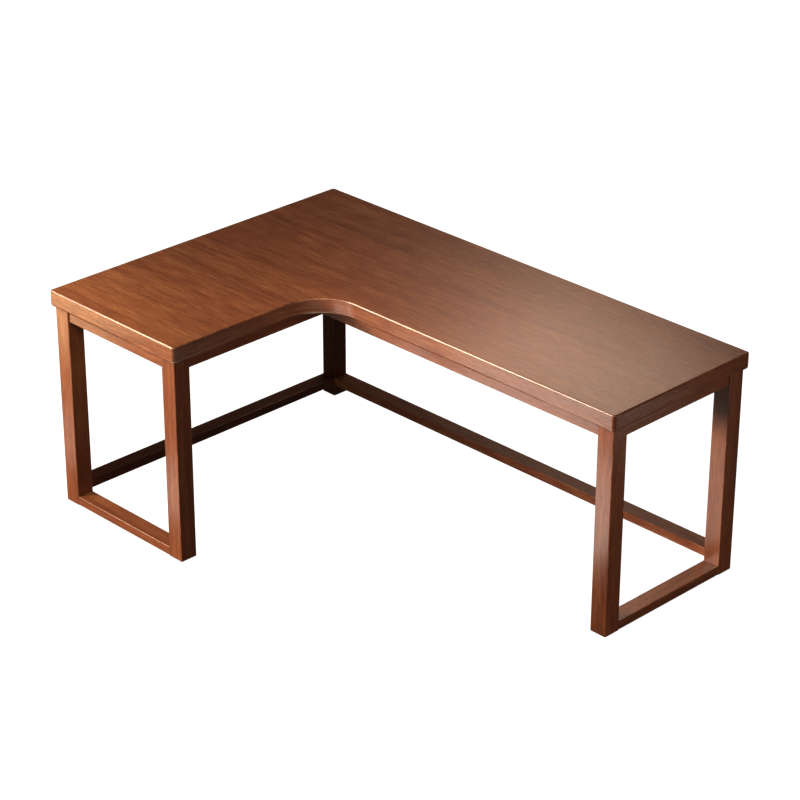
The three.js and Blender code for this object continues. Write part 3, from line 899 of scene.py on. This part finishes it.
def rounded_outline(corners):
    """Points round an outline of straight runs at right angles, each with its outward normal."""
    points = []
    for i, (corner, radius) in enumerate(corners):
        before = (corner - corners[i - 1][0]).normalized()
        after = (corners[(i + 1) % len(corners)][0] - corner).normalized()
        centre = corner + (after - before) * radius
        way = 1 if before.cross(after) > 0 else -1  # -1 where the outline turns inward
        first_angle = math.atan2(-before.x, before.y)
        for angle in quarter_turn(ARC_STEPS if way > 0 else INNER_STEPS):
            direction = first_angle + way * angle
            normal = Vector((math.cos(direction), math.sin(direction)))
            points.append((centre + normal * radius * way, normal))
    return points


def edge_profile(low, high):
    """The worktop's edge from its underside up, as (inset, height, wear, belongs to the rim)."""
    profile = []
    for angle in quarter_turn(ARC_STEPS):
        inset = LOWER_EDGE_RADIUS * (1 - math.sin(angle))
        height = low + LOWER_EDGE_RADIUS * (1 - math.cos(angle))
        profile.append((inset, height, math.sin(2 * angle), angle > RIM_TURN))
    for angle in quarter_turn(ARC_STEPS):
        inset = TOP_EDGE_RADIUS * (1 - math.cos(angle))
        height = high - TOP_EDGE_RADIUS * (1 - math.sin(angle))
        profile.append((inset, height, math.sin(2 * angle), angle < RIM_TURN))
    return profile


def distances_along(outline):
    """How far round the outline each point is, and last the whole way round."""
    distances = [0.0]
    for i in range(len(outline)):
        step = outline[(i + 1) % len(outline)][0] - outline[i][0]
        distances.append(distances[-1] + step.length)
    return distances


def lay_worktop_grain(mesh, outline, profile, middle):
    """Grain along X on the faces of the worktop, and along the edge on its rim."""
    count = len(outline)
    distances = distances_along(outline)
    faces = Grain("worktop", middle, AXIS_VECTOR["x"], AXIS_VECTOR["y"], TOP_HEART)
    rim = Grain("worktop edge", Vector((0, 0, 0)), AXIS_VECTOR["x"], AXIS_VECTOR["y"], RIM_HEART)

    def grain_at(polygon, vertex):
        row = (polygon.index - 2) // count  # the underside and the top come first
        if polygon.index < 2 or not profile[row][3]:
            return faces.at(mesh.vertices[vertex].co)
        j, i = divmod(vertex, count)
        wraps = i == 0 and (count - 1) in [v % count for v in polygon.vertices]
        inset, height, _, _ = profile[j]
        return rim.at(Vector((distances[count if wraps else i], height - middle.z, inset)))

    lay_grain(mesh, grain_at)


def make_worktop():
    low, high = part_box("worktop")
    outline = rounded_outline(worktop_corners())
    profile = edge_profile(low.z, high.z)
    count = len(outline)
    points, wear = [], []
    for inset, height, rubbed, _ in profile:
        for place, normal in outline:
            x, y = place - normal * inset
            points.append((x, y, height))
            wear.append(rubbed)
    rings = [range(j * count, (j + 1) * count) for j in range(len(profile))]
    faces = [tuple(reversed(rings[0])), tuple(rings[-1])]
    for first, second in zip(rings, rings[1:]):
        faces += strips(first, second)
    mesh = make_mesh("worktop", points, faces, wear)
    lay_worktop_grain(mesh, outline, profile, (low + high) / 2)
    add_piece("worktop", mesh, "worktop_wood", all_screw_holes("worktop"))


# ----- Legs, rails, aprons and stretchers -----


def lay_bar_grain(mesh, name, axis):
    """Grain along a bar, from its heart a few centimetres off."""
    corners = [vertex.co for vertex in mesh.vertices]
    middle = sum(corners, Vector()) / len(corners)
    across = AXIS_VECTOR["xyz"[(AXIS_INDEX[axis] + 1) % 3]]
    grain = Grain(name, middle, AXIS_VECTOR[axis], across)
    lay_grain(mesh, lambda polygon, vertex: grain.at(mesh.vertices[vertex].co))


def make_leg(leg):
    low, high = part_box(leg)
    place = leg.removeprefix("leg_")
    mesh = rounded_bar(leg, "z", low, high, LEG_EDGE)
    lay_bar_grain(mesh, leg, "z")
    cutters = [mortise(rail) for rail, (_, first, second) in RAILS.items() if leg in (first, second)]
    cutters.append(rod_hole(*hanger_line(place)))
    cutters += cam_bolt_holes(leg)
    cutters.append(glide_hole(f"glide_{place}", low.z))
    add_piece(leg, mesh, "leg_wood", cutters)


def make_rail(rail):
    """A rail between two legs, its shoulders against them and a tenon in each."""
    axis, first, second = RAILS[rail]
    along = AXIS_INDEX[axis]
    low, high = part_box(rail)
    low[along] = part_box(first)[1][along]
    high[along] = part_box(second)[0][along]
    mesh = rounded_bar(rail, axis, low, high, RAIL_EDGE)
    lay_bar_grain(mesh, rail, axis)
    tongue = box_mesh("tongue", *tenon_box(rail))
    lay_bar_grain(tongue, rail, axis)
    add_piece(rail, mesh, "rail_wood", all_screw_holes(rail), joined=[tongue])


def make_plain_bar(node, axis, cutters):
    mesh = rounded_bar(node, axis, *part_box(node), RAIL_EDGE)
    lay_bar_grain(mesh, node, axis)
    add_piece(node, mesh, "rail_wood", cutters)


def make_stretcher(node, axis):
    cutters = cam_bolt_holes(node)
    cutters += [cam_hole(cam) for cam in CAMS if meets(node, cam)]
    make_plain_bar(node, axis, cutters)


def plan_of(node):
    """The outline of a CAD node's underside, counter-clockwise."""
    low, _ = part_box(node)
    corners = [v.co.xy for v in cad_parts[node].data.vertices if v.co.z < low.z + FIT]
    return [corners[i] for i in convex_hull_2d(corners)]


def make_block(node, cutters):
    """A corner brace or glue block, its grain along its longest side."""
    low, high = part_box(node)
    outline = plan_of(node)
    sides = [outline[i] - outline[i - 1] for i in range(len(outline))]
    longest = max(sides, key=lambda side: side.length)
    mesh = prism(node, outline, low.z, high.z, BLOCK_EDGE)
    grain = Grain(node, (low + high) / 2, Vector((*longest, 0)), AXIS_VECTOR["z"])
    lay_grain(mesh, lambda polygon, vertex: grain.at(mesh.vertices[vertex].co))
    add_piece(node, mesh, "block_wood", cutters)


# ----- Hardware -----

MACHINE_PITCH = 0.001
MACHINE_DEPTH = 0.0006
WOOD_PITCH = 0.0026
WOOD_DEPTH = 0.0009
STEPS_PER_TURN = 6  # rings of points in one turn of a thread
THREADED_SIDES = 24
THREAD_CHAMFER = 0.0006
HANGER_TIP = 0.004
HANGER_WOOD = 0.45  # share of a hanger bolt's length up to the end of its wood thread
HANGER_MACHINE = 0.62  # share up to the start of its machine thread
NUT_FLANGE = 0.0070
NUT_FLANGE_HEIGHT = 0.0010
NUT_CHAMFER = 0.0007
NUT_CHAMFER_SLOPE = 1.6
RECESS_TAPER = 0.55  # how much smaller a cross recess is at its bottom
PAN_HEAD = [(0, 0.6), (0.0004, 0.85), (0.0011, 1)]  # heights, and shares of the head's radius
SCREW_PLAIN = 0.008  # the plain shank under a screw's head
SCREW_TIP = 0.006
SCREW_RECESS = (0.0052, 0.0011, 0.0018)  # length, width and depth
CAM_RECESS = (0.0085, 0.0018, 0.0030)
SCREW_THREAD_DEPTH = 0.8 * WOOD_DEPTH
CAM_RIM = 0.0008
CAM_RIM_MIDDLE = 0.3  # how far in from both faces its middle lies, as a share
CAM_WAIST = 0.0015  # the depth of the groove round a cam
CAM_WAIST_START = (0.20, 0.22)  # shares of its height
CAM_WAIST_END = (0.75, 0.78)
CAM_BOLT_TIP = 0.002
CAM_BOLT_WOOD = 0.42  # share of a cam bolt's length in the leg
COLLAR = (0.0005, 0.0020, 0.0025)  # the collar's start, its end and the neck's start, past the thread
NECK = 0.6  # shares of a cam bolt's radius
BALL = 0.85
BALL_BACK = 2.2  # from the bolt's end to the back of its ball, in ball radii
BALL_NECK = 0.6  # least share of the ball's radius, where it meets the neck
DIMPLE_RADIUS = 0.0035
DIMPLE_DEPTH = 0.0008
DIMPLE_FLAT = 0.7  # share of the dimple that is flat
DIMPLE_LIP = 0.0006
DOME_HEIGHT = 0.8  # share of a glide's disc that is domed
DOME_WIDTH = 1.4  # how much wider than high the dome's edge is
BARBS = 3
BARB_PITCH = 0.0022
BARB_HEIGHT = 0.0004
BARB_START = 0.002  # above the disc
BARB_ROOT = 0.8  # shares of the pin's radius
PIN_END = 0.75
PIN_TIP = 0.001


def threaded_run(start, end, pitch, radius):
    """Profile points close enough together to carry a thread."""
    steps = max(1, round((end - start) / pitch * STEPS_PER_TURN))
    return [(start + (end - start) * k / steps, radius) for k in range(steps + 1)]


def helix(pitch, depth, start, end):
    """A change of radius that cuts a V thread between two distances."""

    def shaped(angle, distance, radius):
        if not start < distance < end:
            return radius
        phase = (distance / pitch - angle / (2 * math.pi)) % 1
        return radius - depth * abs(2 * phase - 1)

    return shaped


def make_hanger_bolt(place):
    """A wood thread in the leg, a plain middle, and a machine thread for the nut."""
    start, end, radius = hanger_line(place)
    length = (end - start).length
    wood_end = length * HANGER_WOOD
    machine_start = length * HANGER_MACHINE
    machine_end = length - THREAD_CHAMFER
    wood = helix(WOOD_PITCH, WOOD_DEPTH, HANGER_TIP, wood_end)
    machine = helix(MACHINE_PITCH, MACHINE_DEPTH, machine_start, machine_end)
    profile = [(0, 0)]
    profile += threaded_run(HANGER_TIP, wood_end, WOOD_PITCH, radius)
    profile += threaded_run(machine_start, machine_end, MACHINE_PITCH, radius)
    profile += [(length, radius - THREAD_CHAMFER), (length, 0)]

    def shaped(angle, distance, r):
        return machine(angle, distance, wood(angle, distance, r))

    node = f"hanger_bolt_{place}"
    mesh = turned(node, start, end - start, profile, THREADED_SIDES, shaped)
    add_piece(node, mesh, "zinc_steel")


def make_hanger_nut(place):
    """A hexagon nut with a thin flange against the brace, and its upper corners turned off."""
    node = f"hanger_nut_{place}"
    start, end, bolt_radius = hanger_line(place)
    direction = (end - start).normalized()
    middle = middle_of(node)
    reaches = [(vertex.co - middle).dot(direction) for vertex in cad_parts[node].data.vertices]
    height = max(reaches) - min(reaches)
    low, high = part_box(node)
    flat = (high.z - low.z) / 2  # from the middle to a flat side
    corner = flat / math.cos(math.radians(30))
    bore = bolt_radius + FIT

    def hexagon(angle, distance, radius):
        if distance <= NUT_FLANGE_HEIGHT:
            return radius
        from_flat = (angle % math.radians(60)) - math.radians(30)
        return min(radius, flat / math.cos(from_flat))

    profile = [
        (0, bore),
        (0, NUT_FLANGE - FIT),
        (FIT, NUT_FLANGE),
        (NUT_FLANGE_HEIGHT, NUT_FLANGE - FIT),
        (NUT_FLANGE_HEIGHT + FIT, corner),
        (height - NUT_CHAMFER, corner),
        (height, corner - NUT_CHAMFER_SLOPE * NUT_CHAMFER),
        (height, bore),
    ]
    seat = middle - direction * (height / 2)
    mesh = turned(node, seat, direction, profile, shaped=hexagon, closed=True)
    add_piece(node, mesh, "zinc_steel")


def cross_recess(at, length, width, depth):
    """Two tapered cutters that make a cross in a face looking down, its middle at a point."""
    cutters = []
    for half_x, half_y in ((length / 2, width / 2), (width / 2, length / 2)):
        mesh = box_mesh("recess", Vector((-half_x, -half_y, -depth)), Vector((half_x, half_y, depth)))
        for vertex in mesh.vertices:
            if vertex.co.z > 0:
                vertex.co.x *= RECESS_TAPER
                vertex.co.y *= RECESS_TAPER
            vertex.co += at
        cutters.append(mesh)
    return cutters


def make_top_screw(node):
    """A pan-head wood screw, driven upwards, with a cross recess in its head."""
    start, head, length = upright_part(node)
    thread_start = SCREW_HEAD_HEIGHT + SCREW_PLAIN
    thread = helix(WOOD_PITCH, SCREW_THREAD_DEPTH, thread_start, length)
    profile = [(0, 0)] + [(height, head * share) for height, share in PAN_HEAD]
    profile += [(SCREW_HEAD_HEIGHT - FIT, head), (SCREW_HEAD_HEIGHT, head - FIT)]
    profile += [(SCREW_HEAD_HEIGHT, SCREW_SHANK_RADIUS), (thread_start, SCREW_SHANK_RADIUS)]
    profile += threaded_run(thread_start, length - SCREW_TIP, WOOD_PITCH, SCREW_SHANK_RADIUS)[1:]
    profile += [(length, 0)]
    mesh = turned(node, start, AXIS_VECTOR["z"], profile, THREADED_SIDES, thread)
    add_piece(node, mesh, "zinc_steel", cross_recess(start, *SCREW_RECESS))


def make_cam(node):
    """A turned cam with a rounded rim and a cross recess, flush in the stretcher's underside."""
    start, radius, height = upright_part(node)
    waist = radius - CAM_WAIST
    rim = CAM_RIM * CAM_RIM_MIDDLE
    profile = [(0, 0), (0, radius - CAM_RIM), (rim, radius - rim), (CAM_RIM, radius)]
    profile += [(height * share, r) for share, r in zip(CAM_WAIST_START, (radius, waist))]
    profile += [(height * share, r) for share, r in zip(CAM_WAIST_END, (waist, radius))]
    profile += [(height - CAM_RIM, radius), (height, radius - CAM_RIM), (height, 0)]
    mesh = turned(node, start, AXIS_VECTOR["z"], profile)
    add_piece(node, mesh, "zinc_steel", cross_recess(start, *CAM_RECESS))


def make_cam_bolt(node):
    """A connecting bolt: a wood thread in the leg, and a ball end that the cam draws on."""
    start, end, radius = cam_line(node)
    length = (end - start).length
    wood_end = length * CAM_BOLT_WOOD
    neck = radius * NECK
    ball = radius * BALL
    profile = [(0, 0)]
    profile += threaded_run(CAM_BOLT_TIP, wood_end, WOOD_PITCH, radius)
    profile += [(wood_end + past, r) for past, r in zip(COLLAR, (radius, radius, neck))]
    profile += [(length - BALL_BACK * ball, neck)]
    for a in quarter_turn(4):
        profile.append((length - ball * (1 + math.cos(a)), ball * max(math.sin(a), BALL_NECK)))
    for a in quarter_turn(4)[1:-1]:
        profile.append((length - ball * (1 - math.sin(a)), ball * math.cos(a)))
    profile += [(length, 0)]
    thread = helix(WOOD_PITCH, WOOD_DEPTH, CAM_BOLT_TIP, wood_end)
    mesh = turned(node, start, end - start, profile, THREADED_SIDES, thread)
    add_piece(node, mesh, "zinc_steel")


def make_glide(node):
    """A domed nylon disc with a shallow dimple below, on a barbed pin."""
    start, radius, height = upright_part(node)
    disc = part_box("leg_corner")[0].z - start.z
    dome = disc * DOME_HEIGHT
    profile = [(DIMPLE_DEPTH, 0), (DIMPLE_DEPTH, DIMPLE_RADIUS * DIMPLE_FLAT)]
    profile += [(DIMPLE_DEPTH / 4, DIMPLE_RADIUS), (0, DIMPLE_RADIUS + DIMPLE_LIP)]
    for a in quarter_turn(5):
        profile.append((dome * (1 - math.cos(a)), radius - dome * DOME_WIDTH * (1 - math.sin(a))))
    profile += [(disc, radius), (disc, GLIDE_PIN_RADIUS)]
    for barb in range(BARBS):
        base = disc + BARB_START + barb * BARB_PITCH
        profile += [(base, GLIDE_PIN_RADIUS * BARB_ROOT), (base + BARB_HEIGHT, GLIDE_PIN_RADIUS)]
    profile += [(height - PIN_TIP, GLIDE_PIN_RADIUS * PIN_END), (height, 0)]
    add_piece(node, turned(node, start, AXIS_VECTOR["z"], profile), "glide_nylon")


# ----- The desk -----


def make_desk():
    make_worktop()
    for leg in LEG_NAMES:
        make_leg(leg)
    for rail in RAILS:
        make_rail(rail)
    for node, axis in APRONS.items():
        make_plain_bar(node, axis, all_screw_holes(node))
    for node, axis in STRETCHERS.items():
        make_stretcher(node, axis)
    for leg in LEG_NAMES:
        place = leg.removeprefix("leg_")
        make_block(f"corner_brace_{place}", [rod_hole(*hanger_line(place))])
        make_hanger_bolt(place)
        make_hanger_nut(place)
        make_glide(f"glide_{place}")
    for node in nodes_named("glue_block_"):
        make_block(node, [])
    for node in nodes_named("top_screw_"):
        make_top_screw(node)
    for node in CAMS:
        make_cam(node)
    for node in nodes_named("cam_bolt_"):
        make_cam_bolt(node)


make_camera()
make_lights()
make_floor()
make_desk()
link_lamps()
